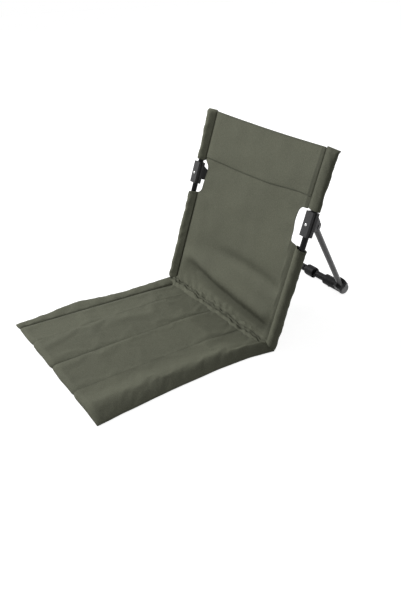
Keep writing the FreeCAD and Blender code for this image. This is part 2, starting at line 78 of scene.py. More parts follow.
# Sewn lines of the mat: place across, depth and half width of the groove in mm, and how strongly the line
# shows at the front edge, in the middle and at the crease
LANE_SEAMS = ((-SEAM_X, 2.2, 4.0, (1.3, 1.4, 1.4)), (-LANE_X, 2.0, 9.0, (0.15, 0.25, 0.55)),
              (0.0, 2.8, 7.0, (1.0, 0.45, 0.5)), (LANE_X, 1.8, 7.0, (0.35, 0.2, 0.7)))
# Heights of the mat in mm: beside its far seam, at the far strip's edges, at its near edge, and the least
FAR_SEAM_HIGH, STRIP_EDGE_HIGH, NEAR_EDGE_HIGH, LEAST_HIGH = 6.0, 3.4, 3.0, 1.6
# Crest along the mat's near side: rise and width in mm, how round it falls, and its place across by length
CREST_RISE, CREST_WIDTH, CREST_ROUND = 7.0, 42.0, 1.9
CREST_LINE = ((MAT_GAP, 188.0), (210.0, 172.0), (-SEAT_FRONT, 166.0))
# Outward shift of the mat's sides and inward slant of its far seam in mm, from crease, 0, to front, 1
FAR_SIDE = ((0.0, -4.0), (0.1, -4.5), (0.3, -5.0), (0.42, 0.0), (0.5, 7.0), (0.57, 13.5), (0.64, 15.5),
            (0.72, 10.0), (0.82, 3.0), (0.92, 1.5), (1.0, -1.0))
NEAR_SIDE = ((0.0, 2.0), (0.04, -4.0), (0.1, -9.0), (0.2, -12.0), (0.3, -13.3), (0.45, -12.0), (0.6, -10.0),
             (0.72, -7.3), (0.86, -3.8), (0.93, -0.5), (1.0, 0.5))
FAR_SLANT = ((0.0, 18.0), (0.25, 12.0), (0.5, 6.5), (1.0, -3.5))
SIDE_BLUR = 0.02
# Filling of the mat: frames of the simulation, and the furthest that a point may move in metres
FILL_FRAMES, FILL_CAP = 22, 0.0015
# Heights of the mat's underside before and after rounding, in metres
UNDERSIDE_Z, LEAST_Z = 0.0004, 0.0002

# Slack of the sling in mm: hollow below its low fold, ridge above it, and the shallow second fold
FOLD_HOLLOW, FOLD_RIDGE, VALLEY_DEPTH = 11.0, 7.0, 6.0
FOLD_LINE = ((-181.0, 66.0), (-134.0, 72.0), (-80.0, 63.0), (-35.0, 55.0), (24.0, 51.0), (80.0, 47.0),
             (181.0, 42.0))
BOW_SHARE = ((10.0, 0.1), (50.0, 0.2), (80.0, 0.3), (125.0, 0.95), (500.0, 1.0))
# Depth of the groove beside the sleeves, and rise of the near sleeve's hem strip, in mm
SEAM_GROOVE, HEM_RISE = 2.2, 2.0

# Section of the gathered crease from the seat to the back: place, 0 to 1, and mm behind the crease and up
CREASE_SECTION = ((0.0, -23.0, 1.5), (0.16, -16.0, 6.6), (0.32, -10.5, 9.0), (0.42, -6.5, 5.2),
                  (0.51, -3.0, 9.8), (0.60, 0.5, 6.8), (0.72, 4.0, 11.0), (0.86, 9.0, 12.2),
                  (1.0, 15.0, 12.0))
# Its stitched rows: place, half width and darkness
CREASE_STITCHES = ((0.42, 0.085, 0.9), (0.60, 0.075, 0.75))

# Sleeves: part, side, and lower and upper end in mm along the back
SLEEVES = (("upper", "right", NOTCH_HIGH - 3.5, BACK_TOP + 2.0), ("lower", "right", 3.0, NOTCH_LOW),
           ("upper", "left", NOTCH_HIGH, BACK_TOP + 2.0), ("lower", "left", 3.0, NOTCH_LOW_LEFT))
# Teardrop of the sleeves in mm: round the upright, and the tip at its seam
SLEEVE_RADIUS, SLEEVE_TIP, SLEEVE_COLUMNS = 10.6, -17.2, 40

# Finishes: material, colour and roughness of each slot, then grain, relief and shine
MOULDED = {"grain": 1600.0, "bump_size": 0.00008, "strength": 0.35}
FINISHES = {
    "black_tube": ("gloss_black_paint", "black_paint", 0.15,
                   {"coat": 0.03, "grain": 300.0, "bump_size": 0.00002, "strength": 0.1, "shine": 0.1}),
    "grey_tube": ("satin_grey_paint", "grey_paint", 0.38, {"grain": 700.0, "shine": 0.2}),
    "black_plastic": ("black_moulding", "black_plastic", 0.48, {**MOULDED, "shine": 0.18}),
    "grey_plastic": ("grey_moulding", "grey_plastic", 0.50, MOULDED),
    "stand_plastic": ("stand_moulding", "stand_plastic", 0.46, {**MOULDED, "shine": 0.12}),
    "bar_paint": ("satin_black_paint", "black_paint", 0.42, {"grain": 700.0, "shine": 0.12}),
    "bright_steel": ("bright_rivet", "bright_steel", 0.22, {"metallic": 1.0, "grain": 2200.0}),
    "black_steel": ("blackened_steel", "black_steel", 0.36, {"metallic": 0.6, "grain": 1800.0}),
}
# Pieces of the stand whose finish differs from others of their slot
STAND_FINISHES = {"foot_fitting": "stand_plastic", "hub_housing": "stand_plastic",
                  "crossbar_tongue": "stand_plastic", "crossbar_tube": "bar_paint"}
SHARP_ANGLE = math.radians(28)

# Lamps: name, place and size in metres, power in watts
LAMPS = (("key_light", (-2.24, -1.34, 1.84), 1.8, 109.0), ("rear_light", (0.2, 2.6, 1.1), 1.2, 16.0))
LAMP_AIM = (0.0, 0.0, 0.1)
# Floor: size and height in metres and its glow where it is seen, and the world's light
FLOOR_SIZE, FLOOR_Z, FLOOR_GLOW, WORLD_LIGHT = 14.0, -0.0006, 0.84, 0.27
# Camera that was fitted to the photograph: degrees, metres from the crease, lens and sensor in mm
CAMERA_AZIMUTH, CAMERA_ELEVATION, CAMERA_ROLL = 55.507, 30.101, -0.145
CAMERA_PLACE = (1.0263, -0.7524, 0.7637)
CAMERA_LENS, CAMERA_SENSOR = 37.12, 36.0


class ChairSizes(bpy.types.PropertyGroup):
    """Sizes of the soft pieces that a user would change."""
    back_lean: FloatProperty(
        name="Back lean", description="Lean of the back from the vertical",
        default=math.radians(17.2), subtype="ANGLE")
    sling_bow: FloatProperty(
        name="Sling bow", description="How far the sling bows back between the uprights",
        default=0.009, unit="LENGTH")
    cloth_thickness: FloatProperty(
        name="Cloth thickness", description="Thickness of one layer of cloth",
        default=0.0011, unit="LENGTH")
    lane_crown: FloatProperty(
        name="Lane crown", description="Height of the padded lanes of the mat",
        default=0.0125, unit="LENGTH")
    strip_crown: FloatProperty(
        name="Strip crown", description="Height of the flat strip along the far side of the mat",
        default=0.0065, unit="LENGTH")


class ChairColours(bpy.types.PropertyGroup):
    """Colours of the chair, linear."""
    cloth: FloatVectorProperty(
        name="Cloth", description="Olive grey oxford cloth", subtype="COLOR", size=3,
        default=(0.128, 0.132, 0.097))
    black_paint: FloatVectorProperty(
        name="Black paint", description="Paint of uprights and crossbar", subtype="COLOR", size=3,
        default=(0.010, 0.010, 0.011))
    grey_paint: FloatVectorProperty(
        name="Grey paint", description="Satin paint of the rear legs", subtype="COLOR", size=3,
        default=(0.080, 0.080, 0.082))
    black_plastic: FloatVectorProperty(
        name="Black plastic", description="Moulded brackets and plugs", subtype="COLOR", size=3,
        default=(0.044, 0.044, 0.045))
    grey_plastic: FloatVectorProperty(
        name="Grey plastic", description="Foot pads", subtype="COLOR", size=3,
        default=(0.260, 0.260, 0.263))
    stand_plastic: FloatVectorProperty(
        name="Stand plastic", description="Moulded fittings and hub of the stand", subtype="COLOR", size=3,
        default=(0.014, 0.014, 0.015))
    bright_steel: FloatVectorProperty(
        name="Bright steel", description="Dome rivets", subtype="COLOR", size=3,
        default=(0.62, 0.62, 0.61))
    black_steel: FloatVectorProperty(
        name="Black steel", description="Blackened pins", subtype="COLOR", size=3,
        default=(0.035, 0.035, 0.037))


def smooth_step(low, high, value):
    """0 up to low, 1 from high on, and a smooth rise between."""
    t = np.clip((value - low) / (high - low), 0, 1)
    return t * t * (3 - 2 * t)


def soft_curve(knots, values, at, blur=7.0):
    """Values at knots, joined by a line that is rounded over about the blur length."""
    total = np.zeros_like(at, dtype=float)
    steps = np.linspace(-2, 2, 17)
    weights = np.exp(-steps ** 2 / 2)
    for step, weight in zip(steps, weights / weights.sum()):
        total += weight * np.interp(at + step * blur, knots, values)
    return total


def ripple(a, b, seed, scale):
    """Soft seeded noise from a few sine waves, about -1 to 1, with that wavelength in mm."""
    rng = np.random.default_rng(seed)
    total = np.zeros(np.broadcast(a, b).shape)
    for _ in range(9):
        angle, phase = rng.uniform(0, 2 * math.pi, 2)
        wave = 2 * math.pi / (scale * rng.uniform(0.7, 1.6))
        total += np.sin(wave * (a * math.cos(angle) + b * math.sin(angle)) + phase)
    return total / 4.5


def deselect():
    if bpy.context.object and bpy.context.object.mode != "OBJECT":
        bpy.ops.object.mode_set(mode="OBJECT")
    bpy.ops.object.select_all(action="DESELECT")


def activate(obj):
    deselect()
    obj.select_set(True)
    bpy.context.view_layer.objects.active = obj


def get_points(obj):
    flat = np.zeros(len(obj.data.vertices) * 3)
    obj.data.vertices.foreach_get("co", flat)
    return flat.reshape(-1, 3)


def set_points(obj, points):
    obj.data.vertices.foreach_set("co", np.ascontiguousarray(points, dtype=np.float32).ravel())
    obj.data.update()


def apply_modifier(obj, kind, name, **settings):
    activate(obj)
    modifier = obj.modifiers.new(name, kind)
    for key, value in settings.items():
        setattr(modifier, key, value)
    bpy.ops.object.modifier_apply(modifier=name)


def set_flat_uv(obj, across, along):
    """UV map in metres of flat cloth, from one pair of numbers in mm for each vertex."""
    layer = obj.data.uv_layers.active or obj.data.uv_layers.new(name="flat_cloth")
    corner = np.zeros(len(obj.data.loops), dtype=np.int32)
    obj.data.loops.foreach_get("vertex_index", corner)
    uv = np.stack([across[corner], along[corner]], axis=1) * 0.001
    layer.data.foreach_set("uv", uv.astype(np.float32).ravel())


def set_seams_and_shade(obj, dark):
    """Mark from 0 to 1 for each vertex, which darkens the cloth: dark sewn lines, and painted shade in folds,
    hollows and near the crease.
    """
    layer = obj.data.attributes.new("seam", "FLOAT", "POINT")
    layer.data.foreach_set("value", np.clip(dark, 0, 1).astype(np.float32))


def line(distance, width):
    """1 on a line, falling off to both sides over about that width."""
    return np.exp(-(distance / width) ** 2)


def cloth_grid(name, columns, rows):
    """A flat grid with that many faces each way, and its vertices' places in it from 0 to 1."""
    deselect()
    bpy.ops.mesh.primitive_grid_add(x_subdivisions=columns, y_subdivisions=rows, size=2)
    obj = bpy.context.object
    obj.name = obj.data.name = name
    unit = (get_points(obj)[:, :2] + 1) / 2
    return obj, unit[:, 0], unit[:, 1]


def on_floor(x, y, z):
    """Row frame in metres from mm measured from the crease, on the floor."""
    return np.stack([x, y + CREASE_Y, z], axis=1) * 0.001


def on_back(x, depth, height, lean):
    """Row frame in metres from mm across, behind and along the leaning back."""
    y = height * math.sin(lean) + depth * math.cos(lean)
    z = height * math.cos(lean) - depth * math.sin(lean)
    return on_floor(x, y, z)


def face_outwards(obj):
    activate(obj)
    bpy.ops.object.mode_set(mode="EDIT")
    bpy.ops.mesh.select_all(action="SELECT")
    bpy.ops.mesh.normals_make_consistent(inside=False)
    bpy.ops.object.mode_set(mode="OBJECT")


def finish_cloth(obj, thickness, material, levels=1, offset=0.0):
    """Gives a shaped sheet its thickness, rounds it and dresses it."""
    apply_modifier(obj, "SOLIDIFY", "thickness", thickness=thickness, offset=offset)
    if levels:
        apply_modifier(obj, "SUBSURF", "rounding", levels=levels, render_levels=levels)
    face_outwards(obj)
    activate(obj)
    bpy.ops.object.shade_smooth()
    dress(obj, material)


def dress(obj, material):
    obj.data.materials.clear()
    obj.data.materials.append(material)


# Node helpers
def new_material(name):
    """A new material with its node tree and shader."""
    material = bpy.data.materials.new(name)
    material.use_nodes = True
    shader = material.node_tree.nodes["Principled BSDF"]
    return material, material.node_tree, shader


def add_node(tree, kind, **settings):
    node = tree.nodes.new(kind)
    inputs = settings.pop("inputs", {})
    for key, value in settings.items():
        setattr(node, key, value)
    for key, value in inputs.items():
        node.inputs[key].default_value = value
    return node


def maths(tree, operation, first, second=None):
    node = add_node(tree, "ShaderNodeMath", operation=operation)
    for socket, value in zip(node.inputs, (first, second)):
        if value is None:
            continue
        if isinstance(value, (int, float)):
            socket.default_value = value
        else:
            tree.links.new(value, socket)
    return node.outputs[0]


def new_group(name, inputs, outputs):
    tree = bpy.data.node_groups.new(name, "ShaderNodeTree")
    for socket, kind, default in inputs:
        made = tree.interface.new_socket(name=socket, in_out="INPUT", socket_type=kind)
        if default is not None:
            made.default_value = default
    for socket, kind in outputs:
        tree.interface.new_socket(name=socket, in_out="OUTPUT", socket_type=kind)
    return tree, tree.nodes.new("NodeGroupInput"), tree.nodes.new("NodeGroupOutput")


def plain_weave_group():
    """Plain weave: threads over and under each other, with a height and a thread mask."""
    if "plain_weave" in bpy.data.node_groups:
        return bpy.data.node_groups["plain_weave"]
    tree, start, end = new_group(
        "plain_weave",
        [("Vector", "NodeSocketVector", None), ("Threads per metre", "NodeSocketFloat", 1600.0)],
        [("Height", "NodeSocketFloat"), ("Slub", "NodeSocketFloat")])
    scaled = add_node(tree, "ShaderNodeVectorMath", operation="SCALE")
    tree.links.new(start.outputs["Vector"], scaled.inputs[0])
    tree.links.new(start.outputs["Threads per metre"], scaled.inputs["Scale"])
    parts = add_node(tree, "ShaderNodeSeparateXYZ")
    tree.links.new(scaled.outputs[0], parts.inputs[0])
    warp = maths(tree, "SINE", maths(tree, "MULTIPLY", parts.outputs["X"], math.pi))
    weft = maths(tree, "SINE", maths(tree, "MULTIPLY", parts.outputs["Y"], math.pi))
    over = maths(tree, "GREATER_THAN", maths(tree, "MULTIPLY", warp, weft), 0.0)
    warp_height = maths(tree, "ABSOLUTE", warp)
    weft_height = maths(tree, "ABSOLUTE", weft)
    high = maths(tree, "MULTIPLY", warp_height, over)
    low = maths(tree, "MULTIPLY", weft_height, maths(tree, "SUBTRACT", 1.0, over))
    tree.links.new(maths(tree, "ADD", high, low), end.inputs["Height"])
    slub = add_node(tree, "ShaderNodeTexNoise", noise_dimensions="2D",
                    inputs={"Scale": 1.0, "Detail": 2.0, "Roughness": 0.7})
    stretch = add_node(tree, "ShaderNodeMapping", inputs={"Scale": (260.0, 2600.0, 1.0)})
    tree.links.new(start.outputs["Vector"], stretch.inputs["Vector"])
    tree.links.new(stretch.outputs[0], slub.inputs["Vector"])
    tree.links.new(slub.outputs["Fac"], end.inputs["Slub"])
    return tree


def mottle_group():
    """Two sizes of soft blotches for faded, scuffed or uneven colour."""
    if "mottle" in bpy.data.node_groups:
        return bpy.data.node_groups["mottle"]
    tree, start, end = new_group(
        "mottle",
        [("Vector", "NodeSocketVector", None), ("Broad scale", "NodeSocketFloat", 12.0),
         ("Fine scale", "NodeSocketFloat", 600.0)],
        [("Broad", "NodeSocketFloat"), ("Fine", "NodeSocketFloat")])
    for scale, output, detail in (("Broad scale", "Broad", 4.0), ("Fine scale", "Fine", 2.0)):
        noise = add_node(tree, "ShaderNodeTexNoise", inputs={"Detail": detail})
        tree.links.new(start.outputs["Vector"], noise.inputs["Vector"])
        tree.links.new(start.outputs[scale], noise.inputs["Scale"])
        tree.links.new(noise.outputs["Fac"], end.inputs[output])
    return tree


def group_node(tree, group, **values):
    node = tree.nodes.new("ShaderNodeGroup")
    node.node_tree = group
    for key, value in values.items():
        node.inputs[key.replace("_", " ")].default_value = value
    return node


def remap(tree, value, low, high, start=0.3, end=0.7):
    node = add_node(tree, "ShaderNodeMapRange", inputs={
        "From Min": start, "From Max": end, "To Min": low, "To Max": high})
    tree.links.new(value, node.inputs["Value"])
    return node.outputs["Result"]


def tint(tree, colour, factor):
    """Colour times a factor that changes over the surface."""
    node = add_node(tree, "ShaderNodeVectorMath", operation="SCALE")
    node.inputs[0].default_value = colour
    tree.links.new(factor, node.inputs["Scale"])
    return node.outputs[0]


def seen_ray(tree):
    """1 for a ray that shows the surface itself, straight or mirrored, and 0 for light that it gives."""
    path = add_node(tree, "ShaderNodeLightPath")
    seen = maths(tree, "MAXIMUM", path.outputs["Is Camera Ray"], path.outputs["Is Transmission Ray"])
    return maths(tree, "MAXIMUM", seen, path.outputs["Is Glossy Ray"])


def cloth_material(colour, name="olive_canvas"):
    """Plain woven cloth, uneven in colour, darker along sewn lines, with painted shade in folds and hollows and
    near the crease.
    """
    if name in bpy.data.materials:
        return bpy.data.materials[name]
    material, tree, shader = new_material(name)
    uv = add_node(tree, "ShaderNodeUVMap")
    place = add_node(tree, "ShaderNodeTexCoord")
    weave = group_node(tree, plain_weave_group(), Threads_per_metre=1500.0)
    tree.links.new(uv.outputs[0], weave.inputs["Vector"])
    mottle = group_node(tree, mottle_group(), Broad_scale=9.0, Fine_scale=420.0)
    tree.links.new(place.outputs["Object"], mottle.inputs["Vector"])
    factor = maths(tree, "MULTIPLY", remap(tree, mottle.outputs["Broad"], 0.93, 1.07),
                   remap(tree, mottle.outputs["Fine"], 0.90, 1.10))
    factor = maths(tree, "MULTIPLY", factor, remap(tree, weave.outputs["Slub"], 0.92, 1.08))
    factor = maths(tree, "MULTIPLY", factor, remap(tree, weave.outputs["Height"], 0.80, 1.08, 0.0, 1.0))
    # The "seam" mark darkens the colour: dark sewn lines, and painted shade in folds, hollows, near the crease and
    # on the near sleeves
    seam = add_node(tree, "ShaderNodeAttribute", attribute_name="seam")
    factor = maths(tree, "MULTIPLY", factor, remap(tree, seam.outputs["Fac"], 1.0, 0.42, 0.0, 1.0))
    tree.links.new(tint(tree, colour, factor), shader.inputs["Base Color"])
    tree.links.new(remap(tree, mottle.outputs["Broad"], 0.78, 0.92), shader.inputs["Roughness"])
    bump = add_node(tree, "ShaderNodeBump", inputs={"Strength": 0.35, "Distance": 0.0003})
    tree.links.new(weave.outputs["Height"], bump.inputs["Height"])
    tree.links.new(bump.outputs[0], shader.inputs["Normal"])
    shader.inputs["Specular IOR Level"].default_value = 0.12
    return material


def coated_material(name, colour, roughness, metallic=0.0, coat=0.0, grain=900.0, bump_size=0.00004,
                    strength=0.25, scuff=0.12, shine=0.5):
    """Paint, moulded plastic or metal: uneven colour, grain and a roughness that varies."""
    if name in bpy.data.materials:
        return bpy.data.materials[name]
    material, tree, shader = new_material(name)
    place = add_node(tree, "ShaderNodeTexCoord")
    mottle = group_node(tree, mottle_group(), Broad_scale=55.0, Fine_scale=grain)
    tree.links.new(place.outputs["Object"], mottle.inputs["Vector"])
    factor = maths(tree, "MULTIPLY", remap(tree, mottle.outputs["Broad"], 1 - scuff, 1 + scuff),
                   remap(tree, mottle.outputs["Fine"], 0.93, 1.07))
    tree.links.new(tint(tree, colour, factor), shader.inputs["Base Color"])
    tree.links.new(remap(tree, mottle.outputs["Broad"], roughness * 0.85, roughness * 1.2),
                   shader.inputs["Roughness"])
    bump = add_node(tree, "ShaderNodeBump", inputs={"Strength": strength, "Distance": bump_size})
    tree.links.new(mottle.outputs["Fine"], bump.inputs["Height"])
    tree.links.new(bump.outputs[0], shader.inputs["Normal"])
    shader.inputs["Metallic"].default_value = metallic
    shader.inputs["Coat Weight"].default_value = coat
    shader.inputs["Coat Roughness"].default_value = 0.12
    shader.inputs["Specular IOR Level"].default_value = shine
    return material


# The mat
def seam_strength(seam, y):
    """How strongly a sewn line of the mat shows along its length: 0 not at all, above 1 wide and dark."""
    return soft_curve([SEAT_FRONT, -230.0, -MAT_GAP], seam[3], y, 30.0)


def seam_gap(x):
    """Distance across from the nearest sewn line of the mat, in mm."""
    seams = np.array([seam[0] for seam in LANE_SEAMS])
    return np.min(np.abs(x[:, None] - seams[None, :]), axis=1)


def mat_height(x, y, sizes):
    """Height of the mat's top in mm before it is filled: lanes, narrow seams, far strip, round near side."""
    lane, strip = sizes.lane_crown * 1000, sizes.strip_crown * 1000
    height = lane - (lane - FAR_SEAM_HIGH) * smooth_step(-60, -SEAM_X, x)
    for seam in LANE_SEAMS:
        place, depth, width = seam[:3]
        height = height - depth * (0.35 + 0.65 * seam_strength(seam, y)) * np.exp(-np.abs(x - place) / width)
    far = np.clip((-SEAM_X - x) / (SEAT_HALF - SEAM_X), 0, 1)
    arch = STRIP_EDGE_HIGH + (strip - STRIP_EDGE_HIGH) * np.sqrt(np.clip(1 - (2 * far - 1) ** 2, 0, 1))
    height = np.where(x < -SEAM_X, np.minimum(arch, height + 40 * far), height)
    height = height * (1 - 0.6 * smooth_step(SEAT_HALF - 7, SEAT_HALF, -x))
    crest = np.interp(-y, *zip(*CREST_LINE))
    near = np.clip((x - crest) / (SEAT_HALF - crest), 0, 1)
    height = height + CREST_RISE * line(np.minimum(x - crest, 0), CREST_WIDTH) * smooth_step(LANE_X, 165, x)
    return NEAR_EDGE_HIGH + (height - NEAR_EDGE_HIGH) * (1 - near ** CREST_ROUND)


def mat_folds(x, y):
    """Small folds of the mat's cloth in mm: at the crease, on the near slope and on the far strip."""
    behind = np.abs(y + MAT_GAP)
    reach = 7 + 6 * (1 + ripple(x, 0 * x, 13, 55.0))
    folds = 1.2 * ripple(x + 0.7 * y, 0.2 * y, 9, 21.0) * np.exp(-behind / reach)
    folds += 0.35 * ripple(x - 0.6 * y, 0.3 * y, 15, 42.0) * np.exp(-behind / 55)
    crinkle = 0.7 * ripple(x * 1.3 + 0.5 * y, 0.8 * y, 14, 40.0)
    crinkle += 0.45 * ripple(x + 0.6 * y, y, 18, 19.0)
    folds += crinkle * smooth_step(150, 186, x)
    folds += ripple(x * 0.4, y, 16, 26.0) * smooth_step(-SEAM_X - 3, -SEAM_X - 12, x)
    folds += 0.25 * ripple(x * 0.8, y, 3, 105.0)
    return folds


def mat_sides(x, y):
    """Places across the mat in mm, with its sides pulled in or out and its far seam slanted."""
    length = (y + MAT_GAP) / (SEAT_FRONT + MAT_GAP)
    near = soft_curve(*zip(*NEAR_SIDE), length, SIDE_BLUR)
    far = soft_curve(*zip(*FAR_SIDE), length, SIDE_BLUR)
    bulge = np.where(x > 0, near, far) + 0.8 * ripple(0 * y, y, 8, 70.0)
    outer = np.where(x > 0, smooth_step(140, SEAT_HALF, x), smooth_step(SEAM_X, SEAT_HALF - 6, -x))
    slant = np.interp(length, *zip(*FAR_SLANT))
    slant = slant * smooth_step(-SEAT_HALF, -SEAM_X, x) * smooth_step(-LANE_X, -SEAM_X, x)
    return x + np.sign(x) * bulge * outer + slant


def mat_columns():
    """Places across the mat in mm: close beside each seam, so that the sewn lines stay crisp."""
    beside, spacing, fewest = 1.6, 4.2, 9
    stops = [-SEAT_HALF, *(seam[0] for seam in LANE_SEAMS), SEAT_HALF]
    columns = [stops[0]]
    for low, high in zip(stops, stops[1:]):
        columns.extend(np.linspace(low + beside, high - beside, max(fewest, int((high - low) / spacing))))
        columns.append(high)
    return np.array(columns)


class CHAIR_OT_seat_mat(bpy.types.Operator):
    """Quilted mat with padded lanes, a flat far strip and a round near side, filled by a cloth simulation"""
    bl_idname = "ground_chair.seat_mat"
    bl_label = "Seat mat"

    def execute(self, context):
        columns = mat_columns()
        mat, across, along = cloth_grid("seat_mat", len(columns) - 1, 92)
        x = columns[np.rint(across * (len(columns) - 1)).astype(int)]
        y = -MAT_GAP + along ** 1.1 * (SEAT_FRONT + MAT_GAP)
        self.shape(mat, x, y, context.scene.ground_chair_sizes)
        count = len(mat.data.vertices)
        apply_modifier(mat, "SOLIDIFY", "underside", thickness=0.003, offset=-1.0, use_rim=True)
        points = get_points(mat)
        points[count:, :2] = points[:count, :2]
        points[count:, 2] = UNDERSIDE_Z
        set_points(mat, points)
        self.fill(mat, count, x, y)
        apply_modifier(mat, "SUBSURF", "rounding", levels=1, render_levels=1)
        points = get_points(mat)
        points[:, 2] = np.maximum(points[:, 2], LEAST_Z)
        set_points(mat, points)
        face_outwards(mat)
        activate(mat)
        bpy.ops.object.shade_smooth()
        dress(mat, cloth_material(tuple(context.scene.ground_chair_colours.cloth)))
        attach(mat, "seat_mat")
        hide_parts("seat_cover", "seat_foam_1", "seat_foam_2", "seat_foam_3", "seat_foam_4",
                    "side_roll_filling_left", "side_roll_filling_right")
        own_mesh(mat)
        return {"FINISHED"}

    def shape(self, mat, x, y, sizes):
        """Places the top of the mat and marks its flat cloth, its dark sewn lines and a painted shade towards the
        crease.
        """
        gap = seam_gap(x)
        front = smooth_step(SEAT_FRONT + 9, SEAT_FRONT, y)
        rear = smooth_step(-MAT_GAP - 30, -MAT_GAP, y)
        corner = smooth_step(SEAM_X - 3, SEAM_X + 6, np.abs(x))
        inside = np.clip(gap / 3, 0, 1) * (1 - front)
        top = mat_height(x, y, sizes) * (1 - 0.45 * front)
        top = top * (1 - 0.5 * smooth_step(-MAT_GAP - 100, -MAT_GAP - 6, y) * (1 - corner))
        top = top * (1 - 0.5 * smooth_step(-MAT_GAP - 14, -MAT_GAP, y) * corner)
        top = np.maximum(top + mat_folds(x, y) * inside, LEAST_HIGH)
        scallop = 2.2 * line(gap, 5) - 0.8 + 0.7 * ripple(x, 0 * x, 12, 40.0)
        set_points(mat, on_floor(mat_sides(x, y), y + front * scallop + 14.0 * corner * rear, top))
        set_flat_uv(mat, x, y)
        dark = np.zeros_like(x)
        for seam in LANE_SEAMS:
            dark = np.maximum(dark, seam_strength(seam, y) * line(x - seam[0], 1.4))
        # Painted shade: the mat's cloth darkens towards the crease
        set_seams_and_shade(mat, dark + 0.36 * np.exp(-np.abs(y + MAT_GAP) / 40))

    def fill(self, mat, count, x, y):
        """Swells the lanes with pressure while seams, rim and underside are held."""
        start = get_points(mat)
        held = np.ones(len(start), bool)
        rim = (np.abs(x) > SEAT_HALF - 1) | (y < SEAT_FRONT + 1) | (y > -MAT_GAP - 1)
        held[:count] = (seam_gap(x) < 0.5) | rim
        group = mat.vertex_groups.new(name="held")
        group.add([int(i) for i in np.nonzero(held)[0]], 1.0, "REPLACE")
        cloth = mat.modifiers.new("filling", "CLOTH")
        cloth.settings.vertex_group_mass = "held"
        cloth.settings.quality = 6
        cloth.settings.mass = 0.25
        cloth.settings.tension_stiffness = 25
        cloth.settings.compression_stiffness = 12
        cloth.settings.shear_stiffness = 8
        cloth.settings.bending_stiffness = 2.5
        cloth.settings.shrink_min = -0.002
        cloth.settings.use_pressure = True
        cloth.settings.uniform_pressure_force = 0.35
        cloth.settings.effector_weights.gravity = 0.0
        cloth.collision_settings.use_collision = False
        cloth.point_cache.frame_start, cloth.point_cache.frame_end = 1, FILL_FRAMES
        for number in range(1, FILL_FRAMES + 1):
            bpy.context.scene.frame_set(number)
        activate(mat)
        bpy.ops.object.modifier_apply(modifier="filling")
        bpy.context.scene.frame_set(1)
        moved = get_points(mat) - start
        size = np.linalg.norm(moved, axis=1, keepdims=True)
        moved *= np.minimum(1.0, FILL_CAP / np.maximum(size, 1e-9))
        set_points(mat, start + moved)
        mat.vertex_groups.clear()


# The sling
def fold_line(x):
    """Height of the slack fold across the low part of the sling, in mm along the back."""
    return soft_curve(*zip(*FOLD_LINE), x, 14.0)


def valley_line(x):
    """Height of the shallow second fold, in mm along the back."""
    return 131 - 0.0004 * (x - 20) ** 2


def sleeve_seam(s):
    """Where the near sleeve's wide flat hem is sewn to the sling, in mm across."""
    return np.interp(s, [10.0, NOTCH_LOW, NOTCH_HIGH, BACK_TOP], [SEAM_X, 162.0, 172.0, 173.0])


def sling_depth(x, s, sizes):
    """How far the sling's middle surface lies behind the uprights' plane, in mm."""
    bow = sizes.sling_bow * 1000 * (1 - (x / SEAM_X) ** 2)
    bow = bow * soft_curve(*zip(*BOW_SHARE), s)
    sewn = smooth_step(SEAM_X + 1, SEAM_X - 34, np.abs(x))
    fold = fold_line(x)
    below = 0.5 - 0.5 * np.tanh((s - fold) / 9.0)
    hollow = FOLD_HOLLOW * below * smooth_step(2.0, 0.75 * fold - 4.0, s)
    hollow = hollow - FOLD_RIDGE * line(s - fold - 15, 17)
    hollow = hollow * sewn * (0.25 + 0.75 * smooth_step(-175, -95, x))
    valley = VALLEY_DEPTH * line(s - valley_line(x), 15) * smooth_step(-110, 10, x)
    pull = 1.4 * ripple(x * 0.6, s, 5, 120.0) + 0.5 * ripple(x, s * 0.7, 6, 46.0)
    tug = 1.5 * line(np.abs(x) - 160, 26) * line(s - 275, 70)
    pull += tug * np.sin((s - NOTCH_LOW) / NOTCH_SPAN * math.pi * 3)
    reach = 11 + 9 * (1 + ripple(x, 0 * x, 17, 50.0))
    pleats = 2.6 * ripple(x + 0.7 * s, s * 0.2, 7, 22.0) * np.exp(-np.abs(s - 10) / reach) * sewn
    groove = SEAM_GROOVE * line(np.abs(x) - SEAM_X, 3.0)
    strip = HEM_RISE * smooth_step(-2.0, 2.0, x - sleeve_seam(s)) * smooth_step(20, 60, s)
    depth = bow + hollow + (valley + pull) * sewn * smooth_step(10, 40, s) + pleats + groove - strip
    return np.minimum(depth, FOLDED_ROOM + 40 * smooth_step(86, 120, s))


def sling_half(s, sign):
    """Half width of the sling on one side, in mm: full, or taken in by the rounded cut-out."""
    inner = np.where(sign > 0, NOTCH_RIGHT, NOTCH_LEFT)
    low = np.where(sign > 0, NOTCH_LOW, NOTCH_LOW_LEFT)
    inside = np.minimum(s - low, np.where(sign > 0, NOTCH_HIGH_RIGHT, NOTCH_HIGH) - s)
    turn = np.clip(NOTCH_CORNER - inside, 0, NOTCH_CORNER)
    edge = inner + NOTCH_CORNER - np.sqrt(np.maximum(NOTCH_CORNER ** 2 - turn ** 2, 0))
    edge = edge + 2.0 * np.sin((s - NOTCH_LOW) / NOTCH_SPAN * math.pi * 2.2)
    return np.where(inside > 0, np.minimum(edge, SEAM_X + 2), SEAM_X + 2)


def top_edge(x):
    """Height of the back's top edge, in mm along the back: it hangs a little between the uprights."""
    return BACK_TOP - 1.0 - 3.0 * (1 - (x / SEAM_X) ** 2)


